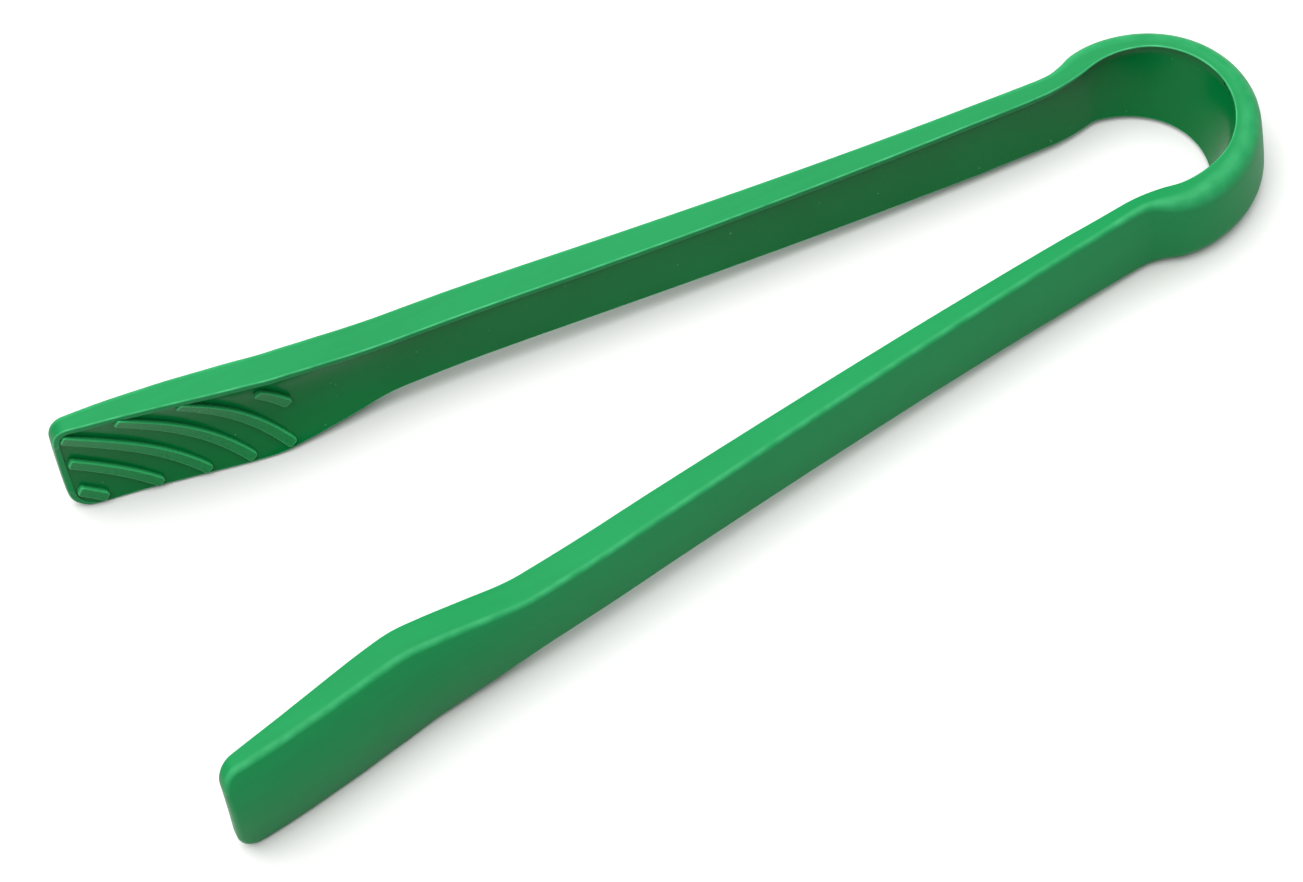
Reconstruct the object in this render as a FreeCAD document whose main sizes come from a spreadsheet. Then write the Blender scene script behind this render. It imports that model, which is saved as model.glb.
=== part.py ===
import FreeCAD, Part
import math
import os
from FreeCAD import Placement, Rotation, Vector

# One-piece spring tongs, moulded in two shots and lying on their long edges.  A hard core makes the
# U-shaped spring, the arms and the gripping faces; a satin skin wraps its outside and both edges and
# stands a little proud of it all round.  The tool frame used while drawing has its origin at the
# centre of the bow, +X towards the bow, the left arm at +Y and the mid-plane at Z = 0.  At the end
# every piece is tilted and lifted so that the bow and the two jaws stand on Z = 0.

SIZES = [
    ("bow_radius", 18.8, "mid-line radius of the spring bow"),
    ("bow_angle", 101.0, "half the angle that the bow turns through, in degrees"),
    ("bow_wall", 3.5, "thickness where the neck leaves the bow"),
    ("bow_outer_radius", 23.2, "radius of the ball that the outside of the bow is part of"),
    ("bow_hole_radius", 17.6, "radius of the round hole in the bow, on the mid-plane"),
    ("bow_hole_draft", 0.5, "how much wider the hole is at the upper edge, and narrower at the lower"),
    ("bow_hole_lean", 2.6, "how far the hole leans back to each side of the mid-plane"),
    ("bow_half_height", 9.5, "half the height of the bow"),
    ("neck_radius", 34.3, "mid-line radius of the reversed bend behind the bow"),
    ("neck_angle", 16.3, "angle of the reversed bend, in degrees"),
    ("neck_wall", 4.1, "thickness at the end of the neck"),
    ("neck_half_height", 8.9, "half the height at the end of the neck"),
    ("arm_bend_radius", 2040.0, "radius of the long outward bend of an arm"),
    ("arm_end_x", -150.0, "where the arm turns into the jaw"),
    ("arm_end_wall", 7.0, "thickness of the arm there"),
    ("arm_half_height", 7.7, "half the height of the arm there"),
    ("shoulder_x", -180.0, "where the jaw has reached its full width"),
    ("shoulder_half_height", 12.2, "half the height of the jaw there"),
    ("jaw_half_height", 13.0, "half the height of the jaw just before its corners"),
    ("jaw_droop", 1.2, "how far the jaw's middle has sunk below the mid-plane there"),
    ("jaw_corner", 4.6, "radius of the corners at the tip"),
    ("tip_x", -219.5, "end of the jaws"),
    ("jaw_root_y", 31.4, "gripping face at the root of the jaw, on the mid-plane"),
    ("jaw_tip_y", 45.6, "gripping face at the tip, on the mid-plane"),
    ("jaw_tip_wall", 4.1, "thickness of the jaw at the tip, on the mid-plane"),
    ("scoop_radius", 23.0, "radius of the hollow gripping face"),
    ("crown_radius", 27.0, "radius of the rounded outside of the jaw"),
    ("skin_wall", 1.1, "thickness of the skin over the outside"),
    ("skin_lip", 1.4, "thickness of the skin over the long edges and the tip"),
    ("core_recess", 0.7, "how far the core lies behind the edge of the skin"),
    ("rib_first_radius", 69.8, "mid-line radius of the rib nearest the tip"),
    ("rib_pitch", 7.2, "distance from one rib to the next"),
    ("rib_width", 2.4, "width of a rib"),
    ("rib_height", 1.0, "height of a rib above the gripping face"),
    ("rib_centre_x", -253.5, "common centre of the ribs, along the jaw"),
    ("rib_centre_z", -67.5, "common centre of the ribs, below the mid-plane"),
    ("rib_tip_margin", 2.6, "distance from the tip to the ends of the ribs"),
]

# The heights above the mid-plane where each rib starts and stops, counted from the tip.
RIB_HEIGHTS = [(-10.6, 0.0), (-10.6, 0.0), (-10.4, 8.6), (-10.2, 9.8), (-9.6, 9.6), (-0.4, 9.0)]

SHOULDER_SLOPE = 14.0   # steepest flare of the jaw's edges, in degrees
FLARE_X = -164.0        # where that slope is reached
FLARE_HALF_HEIGHT = 9.6
FLARE_DROOP = 0.1       # share of the droop that is reached there
SHOULDER_DROOP = 0.4    # and at the shoulder
JAW_BACK_Y = 20.0       # blanks of the jaw start here, clear of the hollow side of the scoop
BLANK = 50.0            # length of the blanks that are trimmed afterwards
RIB_CLEARANCE = 0.3     # between the ribs and the lip of the skin
MOUTH = 1.0             # how far the cut for the core runs out through the open side

doc = FreeCAD.newDocument("tongs")
sheet = doc.addObject("Spreadsheet::Sheet", "Sizes")
for row, (alias, value, meaning) in enumerate(SIZES, start=1):
    sheet.set(f"A{row}", meaning)
    sheet.set(f"B{row}", str(value))
    sheet.setAlias(f"B{row}", alias)
doc.recompute()


def size(alias):
    return float(sheet.get(alias))


def sin(degrees):
    return math.sin(math.radians(degrees))


def cos(degrees):
    return math.cos(math.radians(degrees))


# ------------------------------------------------------------------ features

def bind(feature, **expressions):
    """Ties a feature's properties to the cells of the sheet."""
    for name, expression in expressions.items():
        feature.setExpression(name, expression)


def combine(kind, name, first, second):
    """A boolean of two features: kind is Part::Cut, Part::Common or Part::Fuse."""
    feature = doc.addObject(kind, name)
    feature.Base = first
    feature.Tool = second
    return feature


def sketch_of(name, edges, placement=Placement()):
    """A closed sketch from edges of two points, a line, or three points, an arc."""
    sketch = doc.addObject("Sketcher::SketchObject", name)
    sketch.Placement = placement
    for points in edges:
        curve = Part.LineSegment(*points) if len(points) == 2 else Part.Arc(*points)
        sketch.addGeometry(curve, False)
    return sketch


def extrude(name, sketch, direction, length, symmetric):
    feature = doc.addObject("Part::Extrusion", name)
    feature.Base = sketch
    feature.DirMode = "Custom"
    feature.Dir = direction
    feature.Solid = True
    feature.Symmetric = symmetric
    bind(feature, LengthFwd=length)
    return feature


# ------------------------------------------------------------------ the bow

SEAM_BEHIND = Placement(Vector(0, 0, 0), Rotation(Vector(0, 0, 1), 180))   # keeps seams off the bow


def bow_hole(name, grow):
    """The inside of the bow, larger by grow all round. It leans: the lower circle lies further back."""
    circles = []
    for level in (-1.2, 1.2):
        circle = doc.addObject("Part::Circle", name + ("_low" if level < 0 else "_high"))
        circle.Placement = SEAM_BEHIND
        bind(circle, Radius=f"Sizes.bow_hole_radius + {level} * Sizes.bow_hole_draft + ({grow})")
        circle.setExpression("Placement.Base.x", f"({level} - 1) * Sizes.bow_hole_lean")
        circle.setExpression("Placement.Base.z", f"{level} * Sizes.bow_half_height")
        circles.append(circle)
    hole = doc.addObject("Part::Loft", name)
    hole.Sections = circles
    hole.Solid = True
    hole.Ruled = True
    return hole


def bow_ring(name, grow, outer, half_height):
    """A sector of the ring between the hole and the ball, as high as given."""
    slab = doc.addObject("Part::Cylinder", name + "_slab")
    slab.Placement = Placement(Vector(0, 0, 0), Rotation(Vector(0, 0, 1), -size("bow_angle")))
    bind(slab, Radius="2 * Sizes.bow_outer_radius", Height=f"2 * ({half_height})", Angle="2 * Sizes.bow_angle")
    slab.setExpression("Placement.Base.z", f"-({half_height})")
    ball = doc.addObject("Part::Sphere", name + "_ball")
    ball.Placement = SEAM_BEHIND
    bind(ball, Radius=outer)
    solid = combine("Part::Common", name + "_outside", slab, ball)
    return combine("Part::Cut", name, solid, bow_hole(name + "_hole", grow))


BOW_OUTER = "Sizes.bow_outer_radius"
BOW_CORE_HEIGHT = "Sizes.bow_half_height - Sizes.skin_lip"

bow_core = bow_ring("bow_core", "Sizes.core_recess", BOW_OUTER + " - Sizes.skin_wall", BOW_CORE_HEIGHT)
bow_skin = combine(
    "Part::Cut", "bow_skin",
    bow_ring("bow_blank", "0", BOW_OUTER, "Sizes.bow_half_height"),
    bow_ring("bow_channel", f"-{MOUTH}", BOW_OUTER + " - Sizes.skin_wall", BOW_CORE_HEIGHT))


# ------------------------------------------------------------------ the left arm

NECK_LENGTH = math.radians(size("neck_angle")) * size("neck_radius")


def centre_line(run):
    """Point on the left arm's mid-line at the distance run behind the bow, and its heading."""
    neck_radius = size("neck_radius")
    reach = size("bow_radius") + neck_radius
    neck_centre = Vector(reach * cos(size("bow_angle")), reach * sin(size("bow_angle")), 0)
    swept = min(run / NECK_LENGTH, 1) * size("neck_angle")
    heading = size("bow_angle") + 90 - swept
    point = neck_centre + Vector(-sin(heading), cos(heading), 0) * neck_radius
    beyond = run - NECK_LENGTH
    if beyond > 0:
        bend = math.degrees(beyond / size("arm_bend_radius"))
        chord = heading - bend / 2
        point = point + Vector(cos(chord), sin(chord), 0) * beyond
        heading = heading - bend
    return point, heading


def arm_length():
    """Distance along the mid-line from the bow to the root of the jaw."""
    run = NECK_LENGTH
    while centre_line(run)[0].x > size("arm_end_x"):
        run += 0.1
    return run


ARM_LENGTH = arm_length()


def wall_at(run):
    """Thickness of the arm, which grows evenly from the neck to the jaw."""
    if run <= NECK_LENGTH:
        share = run / NECK_LENGTH
        return size("bow_wall") + (size("neck_wall") - size("bow_wall")) * share
    share = (run - NECK_LENGTH) / (ARM_LENGTH - NECK_LENGTH)
    return size("neck_wall") + (size("arm_end_wall") - size("neck_wall")) * share


def arm_point(run, face, extra):
    """Point in plan on the inner face (face 0) or the outer face (face 1), moved outwards by extra."""
    point, heading = centre_line(run)
    outward = Vector(sin(heading), -cos(heading), 0)
    return point + outward * ((face - 0.5) * wall_at(run) + extra)


def arm_strip(name, inner_extra, outer_extra):
    """A tall strip that follows the arm in plan, between its two faces moved by the extras."""
    end = ARM_LENGTH + 3
    bow_end, neck_middle, neck_end, arm_middle = 0, NECK_LENGTH / 2, NECK_LENGTH, (NECK_LENGTH + end) / 2
    inner = [arm_point(run, 0, inner_extra) for run in (bow_end, neck_middle, neck_end, arm_middle, end)]
    outer = [arm_point(run, 1, outer_extra) for run in (bow_end, neck_middle, neck_end, arm_middle, end)]
    edges = [inner[0:3], inner[2:5], [inner[4], outer[4]],
             [outer[4], outer[3], outer[2]], [outer[2], outer[1], outer[0]], [outer[0], inner[0]]]
    plan = sketch_of(name + "_plan", edges)
    return extrude(name + "_strip", plan, Vector(0, 0, 1), "4 * Sizes.bow_half_height", True)


EDGE_ON = Rotation(Vector(1, 0, 0), 90)   # turns a sketch upright, its X along X and its Y along Z


def below(point):
    return Vector(point.x, -point.y, 0)


def closed_outline(upper, mirrored_lower):
    """Joins an upper edge, drawn from right to left, with a lower edge that is drawn as its mirror image."""
    lower = [[below(point) for point in reversed(edge)] for edge in reversed(mirrored_lower)]
    return upper + [[upper[-1][-1], lower[0][0]]] + lower + [[lower[-1][-1], upper[0][0]]]


def arm_silhouette(name, inset):
    """The arm seen from the side: the height falls quickly behind the bow and then slowly."""
    front = 5.0   # ahead of the slanted end of the bow, where the strip is already cut off
    bow_end_x = size("bow_radius") * cos(size("bow_angle"))
    corners = [Vector(front, size("bow_half_height") - inset, 0),
               Vector(bow_end_x, size("bow_half_height") - inset, 0),
               Vector(centre_line(2 * NECK_LENGTH)[0].x, size("neck_half_height") - inset, 0),
               Vector(size("arm_end_x"), size("arm_half_height") - inset, 0)]
    upper = [[corners[i], corners[i + 1]] for i in range(3)]
    outline = sketch_of(name + "_side", closed_outline(upper, upper), Placement(Vector(0, 0, 0), EDGE_ON))
    return extrude(name + "_height", outline, Vector(0, 1, 0), "4 * Sizes.bow_radius", True)


def arm_layer(name, inner_extra, outer_extra, inset):
    return combine("Part::Common", name, arm_strip(name, inner_extra, outer_extra),
                   arm_silhouette(name, inset))


SKIN, LIP, RECESS = size("skin_wall"), size("skin_lip"), size("core_recess")

left_arm_core = arm_layer("left_arm_core", RECESS, -SKIN, LIP)
left_arm_skin = combine("Part::Cut", "left_arm_skin", arm_layer("arm_blank", 0, 0, 0),
                        arm_layer("arm_channel", -MOUTH, -SKIN, LIP))


# ------------------------------------------------------------------ the left jaw

def flare(start, heading, end):
    """Middle point of the arc that leaves start along heading and ends at end."""
    chord = end - start
    turn = 2 * (math.degrees(math.atan2(chord.y, chord.x)) - heading)
    radius = chord.Length / (2 * sin(turn / 2))
    centre = start + Vector(-sin(heading), cos(heading), 0) * radius
    return centre + Vector(sin(heading + turn / 2), -cos(heading + turn / 2), 0) * radius


def jaw_edge(inset, droop):
    """The jaw's upper edge from the side, lowered by droop at the tip and less towards the root."""
    tip_x = size("tip_x") + inset
    corner = size("jaw_corner") - inset
    top = size("jaw_half_height") - droop - inset
    root = Vector(size("arm_end_x"), size("arm_half_height") - inset, 0)
    middle = Vector(FLARE_X, FLARE_HALF_HEIGHT - droop * FLARE_DROOP - inset, 0)
    shoulder = Vector(size("shoulder_x"), size("shoulder_half_height") - droop * SHOULDER_DROOP - inset, 0)
    corner_start = Vector(tip_x + corner, top, 0)
    corner_middle = Vector(tip_x + corner * (1 - cos(45)), top - corner * (1 - sin(45)), 0)
    corner_end = Vector(tip_x, top - corner, 0)
    return [[root, flare(root, 180, middle), middle],
            [middle, flare(middle, 180 - SHOULDER_SLOPE, shoulder), shoulder],
            [shoulder, corner_start],
            [corner_start, corner_middle, corner_end]]


def jaw_silhouette(name, inset):
    """The jaw seen from the side: it flares out of the arm, widens slowly and ends in round corners."""
    droop = size("jaw_droop")
    outline = sketch_of(name + "_side", closed_outline(jaw_edge(inset, droop), jaw_edge(inset, -droop)),
                        Placement(Vector(0, JAW_BACK_Y, 0), EDGE_ON))
    return extrude(name + "_height", outline, Vector(0, 1, 0), "2 * Sizes.scoop_radius", False)


def jaw_round(name, root_y, tip_y, radius):
    """A long cylinder lying along the jaw, whose far side runs from root_y to tip_y on the mid-plane."""
    run = Vector(size("tip_x") - size("arm_end_x"), tip_y - root_y, -size("jaw_droop"))
    direction = Vector(run)
    direction.normalize()
    outward = Vector(direction.y, -direction.x, 0)
    outward.normalize()
    start = Vector(size("arm_end_x"), root_y, 0) - outward * radius - direction * BLANK / 2
    solid = doc.addObject("Part::Cylinder", name)
    solid.Radius = radius
    solid.Height = run.Length + BLANK
    solid.Placement = Placement(start, Rotation(Vector(0, 0, 1), direction))
    return solid


ROOT_Y, TIP_Y = size("jaw_root_y"), size("jaw_tip_y")
ROOT_OUTER_Y, TIP_OUTER_Y = ROOT_Y + size("arm_end_wall"), TIP_Y + size("jaw_tip_wall")


def scoop(name, depth):
    """The hollow gripping face, moved outwards by depth, as the cylinder that it is part of."""
    return jaw_round(name, ROOT_Y + depth, TIP_Y + depth, size("scoop_radius") + depth)


def crown(name, depth):
    """The rounded outside of the jaw, moved inwards by depth."""
    return jaw_round(name, ROOT_OUTER_Y - depth, TIP_OUTER_Y - depth, size("crown_radius") - depth)


def jaw_layer(name, inner_depth, outer_depth, inset):
    """The part of the jaw between the hollow face and the rounded outside, within its silhouette."""
    solid = combine("Part::Common", name + "_solid", jaw_silhouette(name, inset),
                    crown(name + "_crown", outer_depth))
    return combine("Part::Cut", name, solid, scoop(name + "_scoop", inner_depth))


left_jaw_core = jaw_layer("left_jaw_core", RECESS, SKIN, LIP)
left_jaw_skin = combine("Part::Cut", "left_jaw_skin", jaw_layer("jaw_blank", 0, 0, 0),
                        jaw_layer("jaw_channel", -MOUTH, SKIN, LIP))


# ------------------------------------------------------------------ the ribs of the left jaw

def rib(index, low, high):
    """A low rib, part of a ring about the common centre, standing on the hollow face."""
    name = f"left_grip_rib_{index + 1}"
    centre_x, centre_z = size("rib_centre_x"), size("rib_centre_z")
    radius = size("rib_first_radius") + index * size("rib_pitch")
    start = math.degrees(math.asin((low - centre_z) / radius))
    tip_limit = size("tip_x") + size("rib_tip_margin") - centre_x
    stop = math.degrees(math.acos(tip_limit / radius))
    if high > 0:
        stop = min(stop, math.degrees(math.asin((high - centre_z) / radius)))

    middle_radius = f"Sizes.rib_first_radius + {index} * Sizes.rib_pitch"
    axis_place = Placement(Vector(centre_x, JAW_BACK_Y + BLANK, centre_z), EDGE_ON)
    outside = doc.addObject("Part::Cylinder", name + "_outside")
    outside.Placement = axis_place.multiply(Placement(Vector(0, 0, 0), Rotation(Vector(0, 0, 1), start)))
    outside.Height = BLANK
    outside.Angle = stop - start
    bind(outside, Radius=f"{middle_radius} + Sizes.rib_width / 2")
    inside = doc.addObject("Part::Cylinder", name + "_inside")
    inside.Placement = axis_place
    inside.Height = BLANK
    bind(inside, Radius=f"{middle_radius} - Sizes.rib_width / 2")
    ring = combine("Part::Cut", name + "_ring", outside, inside)
    layer = combine("Part::Cut", name + "_layer", scoop(name + "_foot", RECESS),
                    scoop(name + "_top", RECESS - size("rib_height")))
    bar = combine("Part::Common", name + "_bar", ring, layer)
    return combine("Part::Common", name, bar, jaw_silhouette(name + "_limit", LIP + RIB_CLEARANCE))


left_ribs = [rib(index, low, high) for index, (low, high) in enumerate(RIB_HEIGHTS)]


# ------------------------------------------------------------------ the right side

def mirror_right(left):
    """The same piece on the other side of the plane between the arms."""
    feature = doc.addObject("Part::Mirroring", left.Name.replace("left_", "right_"))
    feature.Source = left
    feature.Normal = Vector(0, 1, 0)
    return feature


# ------------------------------------------------------------------ resting place

def resting_placement():
    """Tilts the tool so that the bow and the jaws stand on Z = 0, and centres it on X."""
    bow_x = math.sqrt(size("bow_outer_radius") ** 2 - size("bow_half_height") ** 2)
    jaw_x = size("tip_x") + size("jaw_corner")
    jaw_depth = size("jaw_half_height") + size("jaw_droop")
    tilt = math.degrees(math.atan2(jaw_depth - size("bow_half_height"), bow_x - jaw_x))
    lift = size("bow_half_height") * cos(tilt) + bow_x * sin(tilt)
    tip_x = size("tip_x") * cos(tilt) - (jaw_depth - size("jaw_corner")) * sin(tilt)
    shift = -(size("bow_outer_radius") + tip_x) / 2
    return Placement(Vector(shift, 0, lift), Rotation(Vector(0, 1, 0), tilt))


AT_REST = resting_placement()
left_pieces = [left_arm_core, left_arm_skin, left_jaw_core, left_jaw_skin] + left_ribs
for piece in [bow_core, bow_skin] + left_pieces:
    piece.Placement = AT_REST
right_pieces = [mirror_right(piece) for piece in left_pieces]
nodes = [bow_core, bow_skin] + left_pieces + right_pieces
for piece in nodes:
    piece.Label = piece.Name
doc.recompute()


# ------------------------------------------------------------------ checks and export

for feature in doc.Objects:
    if "Invalid" in feature.State or "Error" in feature.State:
        raise RuntimeError(f"{feature.Name} failed: {feature.State}")
for piece in nodes:
    shape = piece.Shape
    if shape.isNull() or not shape.isValid() or len(shape.Solids) != 1:
        raise RuntimeError(f"{piece.Label} isn't one valid solid")

os.makedirs("parts", exist_ok=True)
for piece in nodes:
    piece.Shape.exportStep(f"parts/{piece.Label}.step")
    box = piece.Shape.BoundBox
    print(f"{piece.Label:20s} volume {piece.Shape.Volume:9.1f}  x {box.XMin:7.2f} {box.XMax:7.2f}"
          f"  y {box.YMin:7.2f} {box.YMax:7.2f}  z {box.ZMin:6.2f} {box.ZMax:6.2f}")
origin = AT_REST.Base
tilt = AT_REST.Rotation.Angle
hinge, heading = centre_line(0)
print("tilt", math.degrees(tilt), "bow centre", origin, "neck at", AT_REST.multVec(hinge))
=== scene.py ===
import math

import bpy
from mathutils import Matrix, Vector


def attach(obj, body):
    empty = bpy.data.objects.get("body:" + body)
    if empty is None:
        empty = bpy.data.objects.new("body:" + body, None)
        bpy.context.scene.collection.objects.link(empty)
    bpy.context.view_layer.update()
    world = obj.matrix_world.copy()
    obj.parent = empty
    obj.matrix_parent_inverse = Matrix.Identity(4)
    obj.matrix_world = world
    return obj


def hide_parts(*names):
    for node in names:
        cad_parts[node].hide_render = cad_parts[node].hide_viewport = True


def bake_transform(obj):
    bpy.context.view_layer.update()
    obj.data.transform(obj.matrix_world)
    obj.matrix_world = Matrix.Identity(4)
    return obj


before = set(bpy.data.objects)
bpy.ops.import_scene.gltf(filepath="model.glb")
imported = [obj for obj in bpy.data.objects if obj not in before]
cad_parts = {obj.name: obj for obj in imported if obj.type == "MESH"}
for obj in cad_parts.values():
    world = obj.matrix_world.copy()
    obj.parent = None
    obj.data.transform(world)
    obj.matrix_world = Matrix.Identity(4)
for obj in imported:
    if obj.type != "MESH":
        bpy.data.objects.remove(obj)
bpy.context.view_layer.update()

# ---------------------------------------------------------------- the satin skin
# The outside of the tongs: satin green plastic moulded in one run over the glossy core, from the crown
# of the bow to the tip of each arm. It is a channel, open towards the inside, whose edges turn in as a
# narrow lip over the core. Sizes are millimetres, with the bow's centre at 0, 0 and the bow towards +X.

BOW_RADIUS, BOW_ANGLE = 18.8, 101.0       # middle of the wall
NECK_RADIUS, NECK_ANGLE = 34.3, 16.3      # the counter-curve behind the bow
ARM_RADIUS = 2040.0                       # the arms are very slightly bowed
ARM_END, TIP = -150.0, -219.5             # where the jaw begins, and where it ends
TIP_CORNER = 4.6
BOW_RUN = math.radians(BOW_ANGLE) * BOW_RADIUS
NECK_RUN = math.radians(NECK_ANGLE) * NECK_RADIUS
LIP_ROUND, RIM_ROUND = 0.12, 0.34         # roundings of the lip's two edges
SKIN_WALL = 1.1                           # least thickness of the skin behind the core
SKIN_BACK = 0.6                           # further room between the skin's faces and the core's groove
JAW_TURN = 55.0                           # length over which the jaw turns to face straight inwards

# Each line gives places along X and the size there. In order: half the height, how far the middle sinks,
# the wall that the spine runs in, the outer face, the hollow of the inner face, the swell of the outer
# face, the width and height of the outer edge's rounding, the slope of the long edges, and the lips.
HALF_HEIGHT = ((TIP, 13.0), (TIP + TIP_CORNER, 13.0), (-205.0, 12.9), (-190.0, 12.82), (-180.0, 12.7),
               (-172.0, 11.75), (-164.0, 10.4), (ARM_END, 8.2), (-135.0, 8.0), (-120.0, 7.95),
               (-23.0, 8.9), (-3.6, 9.5), (BOW_RADIUS, 9.5))
DROOP = ((TIP, 1.2), (TIP + TIP_CORNER, 1.2), (-205.0, 0.96), (-190.0, 0.78), (-180.0, 0.75), (-164.0, 0.75),
         (ARM_END, 0.5), (-135.0, 0.2), (-120.0, 0.0), (0.0, 0.0))
LINE_WALL = ((ARM_END, 7.0), (-13.0, 4.1), (-3.6, 3.5), (BOW_RADIUS, 3.5))     # the spine is its middle
OUTER = ((TIP, 2.5), (TIP + 1.0, 3.0), (TIP + 3.0, 3.6), (TIP + 7.0, 4.2), (-201.0, 5.4), (-190.0, 6.3),
         (-180.0, 6.7), (ARM_END, 7.0), (-23.0, 4.3), (-10.5, 4.0), (-7.5, 4.6), (-3.5, 5.7),
         (3.0, 6.1), (11.0, 6.0), (BOW_RADIUS, 5.8))
CUP = ((TIP, 1.0), (-206.8, 1.4), (-195.5, 2.2), (-184.0, 3.1), (-177.0, 3.4), (-170.0, 2.8),
       (-161.7, 1.8), (ARM_END, 0.5), (-130.0, 0.0), (BOW_RADIUS, 0.0))
CROWN = ((TIP, 2.3), (-200.0, 2.3), (-178.0, 2.4), (ARM_END, 0.6), (-120.0, 0.35), (BOW_RADIUS, 0.3))
EDGE_WIDTH = ((TIP, 1.2), (ARM_END, 1.0), (-30.0, 1.0), (-11.0, 1.4), (-4.0, 2.6), (5.0, 3.7),
              (BOW_RADIUS, 3.9))
EDGE_HEIGHT = ((TIP, 1.2), (ARM_END, 1.1), (-30.0, 1.1), (-11.0, 1.6), (-4.0, 3.0), (5.0, 4.1),
               (BOW_RADIUS, 4.2))
RIM_DROP = ((TIP, 0.4), (ARM_END, 0.6), (-30.0, 0.7), (-14.0, 1.1), (-4.0, 1.1), (6.0, 0.75),
            (BOW_RADIUS, 0.7))
UPPER_LIP = ((TIP, 1.4), (-16.0, 1.4), (-3.0, 0.6), (5.0, 0.35), (BOW_RADIUS, 0.35))
LOWER_LIP = ((TIP + 1.4, 1.4), (TIP + 6.0, 0.18), (BOW_RADIUS, 0.18))
TIP_LIP = 1.4
# How deep the core lies behind the lip, along its upper edge and along its lower one.
RECESS = ((TIP, 0.55), (-200.0, 0.3), (-165.0, 0.3), (-140.0, 0.7), (-16.0, 0.7),
          (0.0, 0.5), (BOW_RADIUS, 0.5))
LOW_RECESS = 0.04
TIP_LEAN, LEAN_START = 1.9, -203.0        # the end walls lean: their upper ends stop this much earlier

# The inside of the bow leans: its upper rim, a crease below that, and its lower edge lie this far out.
CREASE_DEPTH = 2.5
RIM_OUT = ((-16.0, 0.0), (-5.0, 0.1), (0.0, 0.5), (6.4, 0.9), (12.0, 1.25), (BOW_RADIUS, 1.15))
CREASE_OUT = ((-16.0, 0.0), (-5.0, 0.9), (0.0, 1.6), (9.0, 1.4), (BOW_RADIUS, 0.7))
FOOT_OUT = ((-16.0, 0.0), (-3.6, 0.2), (0.0, -0.76), (9.4, -3.15), (BOW_RADIUS, -5.15))

TILT = 1.1406                             # lying on its bow and on the lower edges of its jaws
LYING = (Matrix.Translation((0.098224, 0.0, 0.009919)) @ Matrix.Rotation(math.radians(TILT), 4, "Y")
         @ Matrix.Scale(0.001, 4))


def along(knots, x):
    """The size at x from knots of place and size, joined by a smooth curve that never overshoots."""
    if x <= knots[0][0]:
        return knots[0][1]
    if x >= knots[-1][0]:
        return knots[-1][1]
    steps = [right[0] - left[0] for left, right in zip(knots, knots[1:])]
    rises = [(right[1] - left[1]) / step for left, right, step in zip(knots, knots[1:], steps)]
    i = max(k for k in range(len(steps)) if knots[k][0] <= x)

    def slope(k):
        if k == 0 or k == len(steps):
            return rises[min(k, len(steps) - 1)]
        before, after = rises[k - 1], rises[k]
        if before * after <= 0:
            return 0.0
        first, second = 2 * steps[k] + steps[k - 1], steps[k] + 2 * steps[k - 1]
        return (first + second) / (first / before + second / after)

    t = (x - knots[i][0]) / steps[i]
    return ((1 + 2 * t) * (1 - t) ** 2 * knots[i][1] + t * (1 - t) ** 2 * steps[i] * slope(i)
            + t * t * (3 - 2 * t) * knots[i + 1][1] + t * t * (t - 1) * steps[i] * slope(i + 1))


def spine(run):
    """Middle of the wall in plan at the distance run from the crown of the bow, and the heading there."""
    if run <= BOW_RUN:
        angle = run / BOW_RADIUS
        return Vector((math.cos(angle), math.sin(angle))) * BOW_RADIUS, angle + math.pi / 2
    bow_end = math.radians(BOW_ANGLE)
    heading = bow_end + math.pi / 2 - math.radians(NECK_ANGLE) * min((run - BOW_RUN) / NECK_RUN, 1)
    centre = Vector((math.cos(bow_end), math.sin(bow_end))) * (BOW_RADIUS + NECK_RADIUS)
    point = centre + Vector((-math.sin(heading), math.cos(heading))) * NECK_RADIUS
    beyond = run - BOW_RUN - NECK_RUN
    if beyond > 0:
        bend = beyond / ARM_RADIUS
        point += Vector((math.cos(heading - bend / 2), math.sin(heading - bend / 2))) * beyond
        heading -= bend
    return point, heading


def run_at(x):
    """Distance along the spine, behind the bow, to the place x."""
    low, high = BOW_RUN, 300.0
    for _ in range(50):
        middle = (low + high) / 2
        low, high = (middle, high) if spine(middle)[0].x > x else (low, middle)
    return low


def place(run, x, u, v, side):
    """Point in the row frame at u outwards from the inner face and v above the middle."""
    point, heading = spine(run)
    share = min(max((ARM_END - x) / JAW_TURN, 0.0), 1.0)
    turned = heading - (heading - math.pi) * share * share * (3 - 2 * share)
    outward = Vector((math.sin(turned), -math.cos(turned)))
    inner = point + outward * (u - along(LINE_WALL, x) / 2)
    leaning = min(max((LEAN_START - x) / (LEAN_START - TIP), 0.0), 1.0) ** 2
    lean = TIP_LEAN * leaning * (v / (2 * HALF_HEIGHT[0][1]) + 0.5)
    return LYING @ Vector((inner.x + lean, side * inner.y, v))


def full_height(x, up):
    """Half the height without the tip's corners, above the middle line (up 1) or below it (up -1)."""
    return along(HALF_HEIGHT, x) - up * along(DROOP, x)


def height(x, inset, up):
    """The same, moved inwards by inset and with the round corners of the tip."""
    full = full_height(x, up)
    reach = TIP + TIP_CORNER - x
    if reach <= 0:
        return full - inset
    radius = TIP_CORNER - inset
    return full - TIP_CORNER + math.sqrt(max(radius * radius - reach * reach, 0.0))


def rounding(distance, radius):
    """How far a surface falls back at this distance from an edge that is rounded by radius."""
    if distance >= radius:
        return 0.0
    return radius - math.sqrt(max(radius * radius - (radius - distance) ** 2, 0.0))


def level(x, inset, up):
    """Height of the line that runs at inset inside the outline; past the tip's corner it goes on down."""
    behind = x - TIP
    if inset <= behind:
        return height(x, inset, up)
    return full_height(x, up) - TIP_CORNER - (inset - behind)


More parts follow.
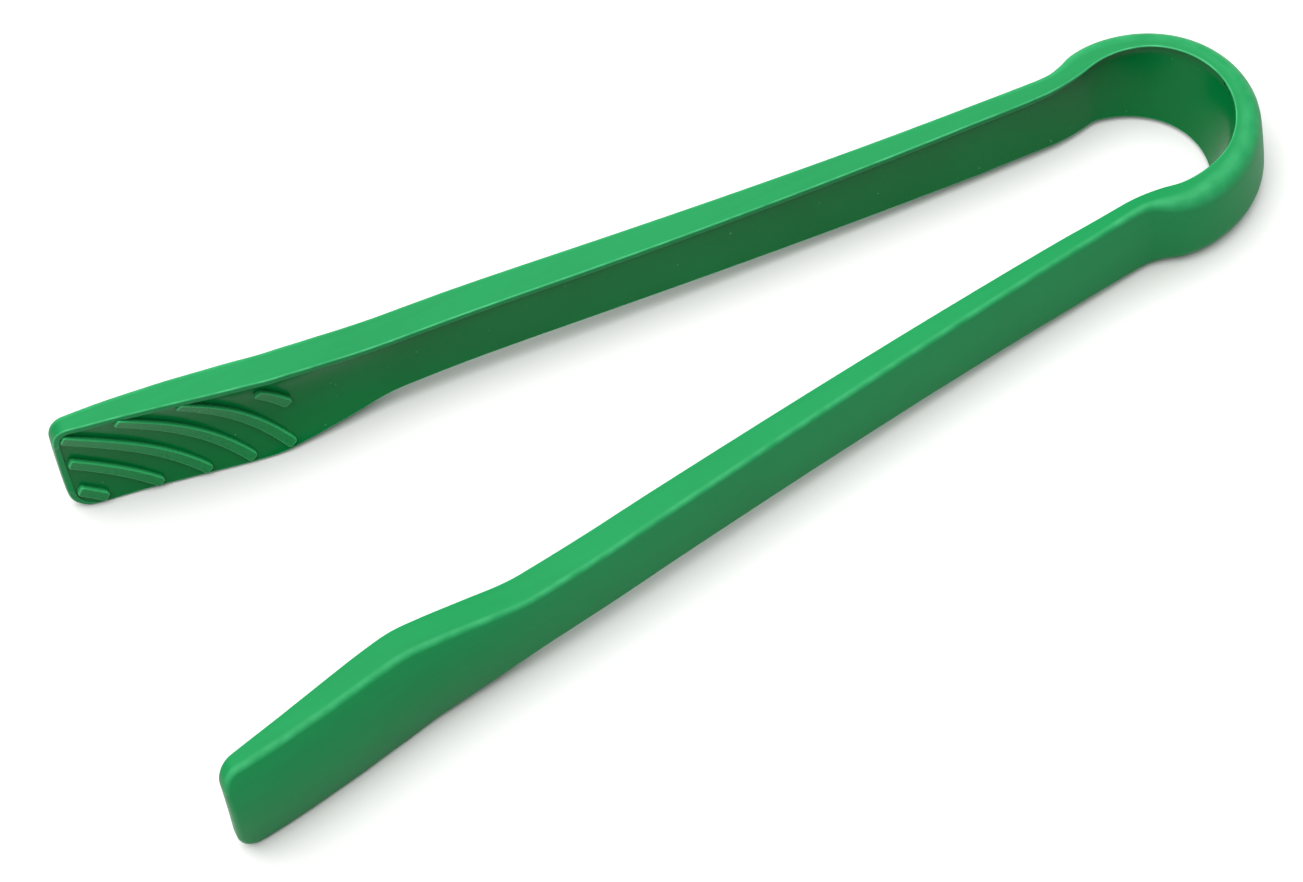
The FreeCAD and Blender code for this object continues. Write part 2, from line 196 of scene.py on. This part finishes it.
def inner_face(x, v):
    """The inside of the tongs at height v: cupped in the jaws and leaning in the bow."""
    up = 1 if v > 0 else -1
    cupped = -along(CUP, x) * (v / full_height(x, up)) ** 2
    top = full_height(x, 1)
    rim, crease, foot = along(RIM_OUT, x), along(CREASE_OUT, x), along(FOOT_OUT, x)
    crease_v = top - CREASE_DEPTH
    if v > crease_v:
        return cupped + crease + (rim - crease) * min((v - crease_v) / CREASE_DEPTH, 1.0)
    return cupped + foot + (crease - foot) * (v + top) / (crease_v + top)


def outer_face(x, v):
    up = 1 if v > 0 else -1
    share = (v / full_height(x, up)) ** 2
    return along(OUTER, x) - along(CUP, x) + along(CROWN, x) * (1 - share)


def quarter(count):
    """Angles from 0 to a right angle."""
    return [math.pi / 2 * step / (count - 1) for step in range(count)]


def lip_at(x, up):
    return along(UPPER_LIP if up > 0 else LOWER_LIP, x)


def drop_factor(x, up):
    """The long edges slope down a little from the outside to the inner rim."""
    return along(RIM_DROP, x) / full_height(x, up)


def skin_behind(x, share):
    """Thickness of the skin behind the core, from its middle (share 0) to its edges (share 1)."""
    return max(along(EDGE_WIDTH, x), SKIN_WALL) * (0.3 + 0.7 * share ** 2) + SKIN_BACK


def skin_half_ring(x, up, open_channel):
    """Half of the channel's section, from the outside to the inside, as points u, v and a painted highlight
    value.
    """
    behind = x - TIP
    wide, tall, lip = along(EDGE_WIDTH, x), along(EDGE_HEIGHT, x), lip_at(x, up)
    ring = []

    def add(u, v, highlight=0.0):
        inside, outside = inner_face(x, up * v), outer_face(x, up * v)
        share = min(max((u - inside) / (outside - inside), 0.0), 1.0)
        ring.append((u, up * v * (1 - drop_factor(x, up) * (1 - share)), highlight))

    start = level(x, tall, up)
    for step in range(6):
        v = start * step / 6
        add(outer_face(x, up * v) - wide / tall * rounding(behind, tall), v)
    # The third value paints a highlight along the rounded edges, strongest half way round each rounding:
    # faint on the outer edge, stronger on the rim, full on the lip's edge.
    for turn in quarter(9):
        inset = tall * (1 - math.sin(turn))
        v = level(x, inset, up)
        add(outer_face(x, up * v) - wide / tall * rounding(min(inset, behind), tall), v,
            0.3 * math.sin(2 * turn))
    top = level(x, 0.0, up)
    lip_face = inner_face(x, up * top)                # the lip stands upright, whatever the core does
    first, last = outer_face(x, up * top) - wide, lip_face + RIM_ROUND
    for share in (0.2, 0.5, 0.8):
        add(first + (last - first) * share, top)
    rim_round = min(RIM_ROUND, 0.6 * lip)
    for turn in reversed(quarter(5)):
        inset = rim_round * (1 - math.sin(turn))
        v = level(x, inset, up)
        add(lip_face + RIM_ROUND / rim_round * rounding(min(inset, behind), rim_round), v,
            0.8 * math.sin(2 * turn))
    lip_round = min(LIP_ROUND, 0.2 * lip)
    for turn in quarter(4):
        inset = lip - lip_round * (1 - math.sin(turn))
        v = level(x, inset, up)
        reached = min(inset, behind)
        fallen = max(RIM_ROUND / rim_round * rounding(reached, rim_round), rounding(lip - reached, lip_round))
        add(lip_face + fallen, v, math.sin(2 * turn))
    bottom = level(x, lip, up)
    if open_channel:
        add(inner_face(x, up * bottom) + along(RECESS, x) + SKIN_BACK, bottom)
        for share in (1.0, 0.7, 0.4, 0.0):
            v = bottom * share
            add(outer_face(x, up * v) - skin_behind(x, share), v)
    else:
        for share in (0.8, 0.6, 0.4, 0.2, 0.0):
            v = bottom * share
            fallen = max(rounding(behind, RIM_ROUND), rounding(lip - behind, LIP_ROUND))
            add(inner_face(x, up * v) + fallen, v)
    return ring


def loft(name, rings, outward, flat_ends=(True, False)):
    """A closed mesh through rings of points with painted highlight values, each end filled by one face.

    The rings turn one way on one side and the other way on its mirror image: outward, 1 or -1, says which."""
    count = len(rings[0])
    points = [point for ring in rings for point, highlight in ring]
    faces = [[i * count + j, i * count + (j + 1) % count, (i + 1) * count + (j + 1) % count,
              (i + 1) * count + j] for i in range(len(rings) - 1) for j in range(count)]
    last = (len(rings) - 1) * count
    faces.append(list(reversed(range(count))))
    faces.append([last + j for j in range(count)])
    if outward < 0:
        faces = [list(reversed(face)) for face in faces]
    mesh = bpy.data.meshes.new(name)
    mesh.from_pydata(points, [], faces)
    mesh.validate()
    mesh.shade_smooth()
    for end, flat in zip((-2, -1), flat_ends):
        mesh.polygons[len(mesh.polygons) + end].use_smooth = not flat
    # These values are the painted highlight along the rounded edges, kept in the "edge" attribute for the
    # materials.
    highlight_layer = mesh.attributes.new("edge", "FLOAT", "POINT")
    highlight_layer.data.foreach_set("value", [highlight for ring in rings for point, highlight in ring])
    piece = bpy.data.objects.new(name, mesh)
    bpy.context.scene.collection.objects.link(piece)
    return piece


def stations():
    """Distances along the spine and places on X of the sections, closer together in the bow and the tip."""
    bow = [0.0, 0.03] + [BOW_RUN * step / 56 for step in range(1, 57)]
    neck = [BOW_RUN + NECK_RUN * step / 14 for step in range(1, 15)]
    both = [(run, spine(run)[0].x) for run in bow + neck]
    neck_end = both[-1][1]
    arm = [neck_end + (ARM_END - neck_end) * step / 46 for step in range(1, 47)]
    jaw = [ARM_END - 1.4 * step for step in range(1, 46)]
    tip = [TIP + behind for behind in (5.6, 5.0, 4.6, 4.2, 3.8, 3.4, 3.0, 2.6, 2.3, 2.0, 1.7, 1.5)]
    return both + [(run_at(x), x) for x in arm + jaw + tip]


# Sections of the solid end wall, as distances behind the tip.
END_STEPS = (TIP_LIP, TIP_LIP - 0.001, 1.35, 1.3, 1.24, 1.1, 0.95, 0.8, 0.65, 0.5, 0.38, 0.28, 0.19, 0.12,
             0.06, 0.02, 0.0)


def whole_ring(upper, lower, run, x, side):
    """Both halves of a section as points in the row frame."""
    return [(place(run, x, u, v, side), highlight) for u, v, highlight in upper + lower[-2:0:-1]]


def skin(name, side):
    ends = [(run_at(TIP + behind), TIP + behind) for behind in END_STEPS]
    rings = []
    for run, x in stations() + ends:
        hollow = x >= TIP + TIP_LIP
        rings.append(whole_ring(skin_half_ring(x, 1, hollow), skin_half_ring(x, -1, hollow), run, x, side))
    return loft(name, rings, -side)


class Value:
    """One output of a shader node. Arithmetic on it adds Math nodes, and add() puts in any other node."""

    def __init__(self, tree, socket=None):
        self.tree, self.socket = tree, socket

    def add(self, kind, settings=None, inputs=None, output=0):
        node = self.tree.nodes.new("ShaderNode" + kind)
        for name, setting in (settings or {}).items():
            setattr(node, name, setting)
        for name, given in (inputs or {}).items():
            if isinstance(given, Value):
                self.tree.links.new(given.socket, node.inputs[name])
            else:
                node.inputs[name].default_value = given
        return Value(self.tree, node.outputs[output])

    def maths(self, operation, first, second):
        return self.add("Math", {"operation": operation}, {0: first, 1: second})

    def __add__(self, other):
        return self.maths("ADD", self, other)

    def __radd__(self, other):
        return self.maths("ADD", other, self)

    def __sub__(self, other):
        return self.maths("SUBTRACT", self, other)

    def __rsub__(self, other):
        return self.maths("SUBTRACT", other, self)

    def __mul__(self, other):
        return self.maths("MULTIPLY", self, other)

    def __rmul__(self, other):
        return self.maths("MULTIPLY", other, self)

    def __pow__(self, other):
        return self.maths("POWER", self, other)

    def noise(self, scale, detail=2.0, stretch=(1.0, 1.0, 1.0)):
        """Noise fixed to the piece, with scale waves to the metre, drawn out by stretch."""
        spot = self.add("TexCoord", output="Object")
        spot = self.add("VectorMath", {"operation": "MULTIPLY"}, {0: spot, 1: stretch})
        return self.add("TexNoise", None, {"Vector": spot, "Scale": scale, "Detail": detail})

    def between(self, low, high):
        """This value spread over 0 to 1 between low and high, and held there outside them."""
        return self.add("MapRange", {"clamp": True}, {"Value": self, "From Min": low, "From Max": high})

    def blend(self, first, second):
        """A colour that goes from first to second with this value."""
        return self.add("Mix", {"data_type": "RGBA"}, {0: self, 6: first, 7: second}, output=2)

    def relief(self, depth):
        """This value as a surface relief, depth metres high."""
        return self.add("Bump", None, {"Height": self, "Strength": 1.0, "Distance": depth})


def material(name, numbers, make):
    """A new material: fixed numbers on its shader, and what make(nodes) gives for the varying ones."""
    made = bpy.data.materials.new(name)
    made.use_nodes = True
    shader = made.node_tree.nodes["Principled BSDF"]
    for socket, number in numbers.items():
        shader.inputs[socket].default_value = number
    for socket, value in make(Value(made.node_tree)).items():
        made.node_tree.links.new(value.socket, shader.inputs[socket])
    return made


SKIN_GREEN, SKIN_DEEP = (0.004, 0.176, 0.049, 1), (0.003, 0.157, 0.042, 1)
# The lighter green below is a painted highlight along the skin's rounded edges and lip.
SKIN_HIGHLIGHT = (0.075, 0.440, 0.190, 1)


def satin(nodes):
    cloud = nodes.noise(38.0, 3.0)
    flow = nodes.noise(60.0, 4.0, (0.25, 9.0, 9.0))
    grain = nodes.noise(5200.0, 2.0)
    edge = nodes.add("Attribute", {"attribute_name": "edge"}, output="Fac")
    # Painted highlight: the edge values, broken into patches by noise, lighten the rounded edges and make
    # them a little smoother.
    highlight = edge * nodes.noise(260.0, 3.0).between(0.1, 0.7)
    tone = (cloud.between(0.3, 0.7) * 0.6 + flow.between(0.35, 0.65) * 0.4).blend(SKIN_DEEP, SKIN_GREEN)
    return {"Base Color": (highlight * 0.95).blend(tone, SKIN_HIGHLIGHT),
            "Roughness": 0.40 + flow * 0.08 + grain * 0.05 - highlight * 0.08,
            "Normal": (grain * 0.7 + flow * 0.3).relief(0.00002)}


satin_green = material("satin green skin", {"Specular IOR Level": 0.1}, satin)


def bend_with(piece, nodes):
    """Bakes the place of a piece that runs from the crown of the bow to a tip into its mesh, and hides the
    parts it stands in for.
    """
    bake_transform(piece)
    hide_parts(*nodes)


for side, word in ((1.0, "left"), (-1.0, "right")):
    piece = skin(word + "_skin", side)
    piece.data.materials.append(satin_green)
    bend_with(piece, ["bow_skin", f"{word}_arm_skin", f"{word}_jaw_skin"])

# ---------------------------------------------------------------- the glossy core
# The springy strip inside the skin, moulded first from a hard glossy green plastic. Only its inner face
# shows, a little behind the lip of the skin. It is hollowed into a shallow scoop in each jaw.

CORE_GAP = 0.05                           # between the hidden back of the core and the skin
CORE_FILLET = 0.35


def core_face(x, v, inside):
    """The core's inner face, inside millimetres from its edge, where it curves up to the lip."""
    share = min(max((v + full_height(x, -1)) / (full_height(x, 1) + full_height(x, -1)), 0.0), 1.0)
    recess = LOW_RECESS + (along(RECESS, x) - LOW_RECESS) * share
    return inner_face(x, v) + recess - 0.4 * recess * rounding(inside, CORE_FILLET) / CORE_FILLET


def core_half_ring(x, up):
    """Half of the core's section, from its hidden back to the middle of its inner face."""
    lip = lip_at(x, up)
    behind = x - TIP - TIP_LIP
    top = level(x, lip, up)
    shrink = 1 - drop_factor(x, up)
    ring = []
    for share in (0.0, 0.5, 1.0):
        v = top * share
        clear = CORE_GAP if share == 1.0 else 0.0
        u = outer_face(x, up * v) - skin_behind(x, share) - CORE_GAP
        ring.append((u, up * (v * shrink - clear), 0.0))
    ring.append((core_face(x, up * top, 0.0) + 0.02, up * top * shrink, 0.0))
    for turn in reversed(quarter(5)):
        inset = CORE_FILLET * (1 - math.sin(turn))
        v = level(x, lip + inset, up)
        ring.append((core_face(x, up * v, min(inset, behind)), up * v * shrink, 0.0))
    start = level(x, lip + CORE_FILLET, up)
    crease = full_height(x, 1) - CREASE_DEPTH
    for near in (0.15, -0.15):
        v = min(crease + near, start - 0.2 + near / 2) if up > 0 else start - 0.5 + near
        ring.append((core_face(x, up * v, behind), up * v * shrink, 0.0))
    last = v
    for step in range(1, 9):
        v = last * (1 - step / 8)
        ring.append((core_face(x, up * v, behind), up * v * shrink, 0.0))
    return ring


def core(name, side):
    ends = [(run_at(TIP + TIP_LIP + behind), TIP + TIP_LIP + behind) for behind in (0.06, 0.03, 0.0)]
    rings = [whole_ring(core_half_ring(x, 1), core_half_ring(x, -1), run, x, side)
             for run, x in stations() + ends]
    return loft(name, rings, -side, flat_ends=(True, True))


CORE_GREEN, CORE_DEEP = (0.000, 0.122, 0.027, 1), (0.000, 0.104, 0.021, 1)
CORE_DUST = (0.16, 0.36, 0.22, 1)


def gloss(nodes):
    cloud = nodes.noise(45.0, 3.0)
    wave = nodes.noise(70.0, 2.0, (0.5, 1.0, 1.0))
    speck = nodes.noise(900.0, 1.0).between(0.77, 0.83)
    tone = cloud.between(0.3, 0.7).blend(CORE_DEEP, CORE_GREEN)
    return {"Base Color": (speck * 0.35).blend(tone, CORE_DUST),
            "Roughness": 0.13 + cloud * 0.10 + speck * 0.25,
            "Normal": wave.relief(0.00012)}


glossy_green = material("glossy green core", {"Specular IOR Level": 0.1}, gloss)

for side, word in ((1.0, "left"), (-1.0, "right")):
    piece = core(word + "_core", side)
    piece.data.materials.append(glossy_green)
    bend_with(piece, ["bow_core", f"{word}_arm_core", f"{word}_jaw_core"])

# ---------------------------------------------------------------- the grip ribs
# Six low curved ribs on each scoop, moulded with the core. They are parts of rings about one centre
# below the jaw, squared off with small round corners. The middle ones reach just past the skin's lip.

RIB_CENTRE = Vector((-255.6, -66.8))
RIB_FIRST, RIB_PITCH = 69.8, 7.2
RIB_WIDTH, RIB_HEIGHT = 2.4, 1.15
RIB_CORNER, RIB_ROUND = 0.7, 0.3
RIB_HEIGHTS = ((-12.0, 0.0), (-12.1, 0.0), (-12.0, 8.4), (-11.8, 9.6), (-11.2, 9.4), (-1.6, 4.8))
RIB_TIP_MARGIN = 2.1                      # the lowest ribs start this far from the tip


def rib(name, number, side):
    low, high = RIB_HEIGHTS[number]
    radius = RIB_FIRST + number * RIB_PITCH
    start = math.asin((low - RIB_CENTRE.y) / radius)
    stop = math.acos((TIP + RIB_TIP_MARGIN - RIB_CENTRE.x) / radius)
    if high > 0:
        stop = min(stop, math.asin((high - RIB_CENTRE.y) / radius))
    length = (stop - start) * radius
    rings = []
    ends = [RIB_CORNER * (1 - math.cos(turn)) for turn in quarter(7)]
    marks = ends + [RIB_CORNER + (length - 2 * RIB_CORNER) * step / 26 for step in range(1, 26)] \
        + [length - end for end in reversed(ends)]
    marks[0], marks[-1] = 0.004, length - 0.004
    for mark in marks:
        near = min(mark, length - mark)
        half = RIB_WIDTH / 2 - rounding(near, RIB_CORNER)
        angle = start + mark / radius
        section = []
        profile = [(half, -0.4, 0.0)]
        for turn in quarter(5):
            inset = RIB_ROUND * (1 - math.cos(turn))
            profile.append((half - inset, 0.0, inset))
        for share in (0.7, 0.35, 0.0):
            profile.append(((half - RIB_ROUND) * share, 0.0, RIB_ROUND))
        whole = profile + [(-across, sunk, inset) for across, sunk, inset in reversed(profile[:-1])]
        for across, sunk, inset in whole:
            spot = RIB_CENTRE + Vector((math.cos(angle), math.sin(angle))) * (radius + across)
            inside = min(inset, near)
            lift = RIB_HEIGHT - rounding(inside, RIB_ROUND)
            if sunk < 0:
                lift = sunk
            u = core_face(spot.x, spot.y, CORE_FILLET) - lift
            # Points on the rounded edges of the rib's top get 1, which paints a highlight there.
            section.append((place(run_at(spot.x), spot.x, u, spot.y, side),
                            1.0 if inside < RIB_ROUND * 0.9 and sunk == 0 else 0.0))
        rings.append(section)
    return loft(name, rings, -side, flat_ends=(True, True))


# The lighter rib green is a painted highlight on the ribs' rounded edges, and also the colour of faint
# scuffs.
RIB_GREEN, RIB_HIGHLIGHT_AND_SCUFF = (0.000, 0.140, 0.032, 1), (0.030, 0.320, 0.105, 1)


def rib_gloss(nodes):
    edge = nodes.add("Attribute", {"attribute_name": "edge"}, output="Fac")
    cloud = nodes.noise(160.0, 3.0)
    scuff = nodes.noise(1400.0, 3.0).between(0.4, 0.7)
    # Painted highlight on the rounded edges, with faint scuffs.
    return {"Base Color": (edge * 0.75 + scuff * 0.1).blend(RIB_GREEN, RIB_HIGHLIGHT_AND_SCUFF),
            "Roughness": 0.22 + cloud * 0.12 + scuff * 0.06,
            "Normal": cloud.relief(0.00005)}


glossy_rib = material("glossy green rib", {"Specular IOR Level": 0.18}, rib_gloss)

for side, word in ((1.0, "left"), (-1.0, "right")):
    for number in range(6):
        node = f"{word}_grip_rib_{number + 1}"
        piece = rib(f"{word}_rib_{number + 1}", number, side)
        piece.data.materials.append(glossy_rib)
        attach(piece, word + "_arm")
        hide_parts(node)

# ---------------------------------------------------------------- the table, the light and the camera
# A white table, lit by a wide soft light overhead, and a long lens high over the near arm.

TABLE_SIZE = 6.0


def table_paint(nodes):
    fleck = nodes.noise(400.0, 3.0)
    cloud = nodes.noise(3.0, 2.0)
    return {"Base Color": cloud.blend((0.555, 0.555, 0.55, 1), (0.575, 0.575, 0.57, 1)),
            "Roughness": 0.5 + fleck * 0.1,
            "Normal": fleck.relief(0.00002)}


table_mesh = bpy.data.meshes.new("table")
half = TABLE_SIZE / 2
corners = [(-half, -half, 0), (half, -half, 0), (half, half, 0), (-half, half, 0)]
table_mesh.from_pydata(corners, [], [(0, 1, 2, 3)])
table = bpy.data.objects.new("table", table_mesh)
bpy.context.scene.collection.objects.link(table)
table.data.materials.append(material("white table", {"Specular IOR Level": 0.2}, table_paint))


def area_light(name, at, towards, width, depth, power):
    light = bpy.data.lights.new(name, "AREA")
    light.shape, light.size, light.size_y, light.energy = "RECTANGLE", width, depth, power
    lamp = bpy.data.objects.new(name, light)
    lamp.location = at
    lamp.rotation_euler = (Vector(towards) - Vector(at)).to_track_quat("-Z", "Y").to_euler()
    bpy.context.scene.collection.objects.link(lamp)


area_light("overhead light", (-0.1, 0.3, 1.5), (-0.1, 0.3, 0.0), 3.2, 3.2, 127.0)

world = bpy.data.worlds.new("studio")
world.use_nodes = True
world.node_tree.nodes["Background"].inputs["Color"].default_value = (1.0, 1.0, 1.0, 1)
world.node_tree.nodes["Background"].inputs["Strength"].default_value = 0.16
bpy.context.scene.world = world
bpy.context.scene.view_settings.view_transform = "Standard"

CAMERA_AT, CAMERA_AIM, CAMERA_ROLL = (-0.11607, -0.50365, 0.71878), (-0.01494, -0.00373, 0.0), -17.074
lens = bpy.data.cameras.new("camera")
lens.lens, lens.sensor_width = 124.33, 36.0
camera = bpy.data.objects.new("camera", lens)
looking = (Vector(CAMERA_AIM) - Vector(CAMERA_AT)).to_track_quat("-Z", "Y").to_matrix().to_4x4()
camera.matrix_world = (Matrix.Translation(CAMERA_AT) @ looking
                       @ Matrix.Rotation(math.radians(CAMERA_ROLL), 4, "Z"))
bpy.context.scene.collection.objects.link(camera)
bpy.context.scene.camera = camera
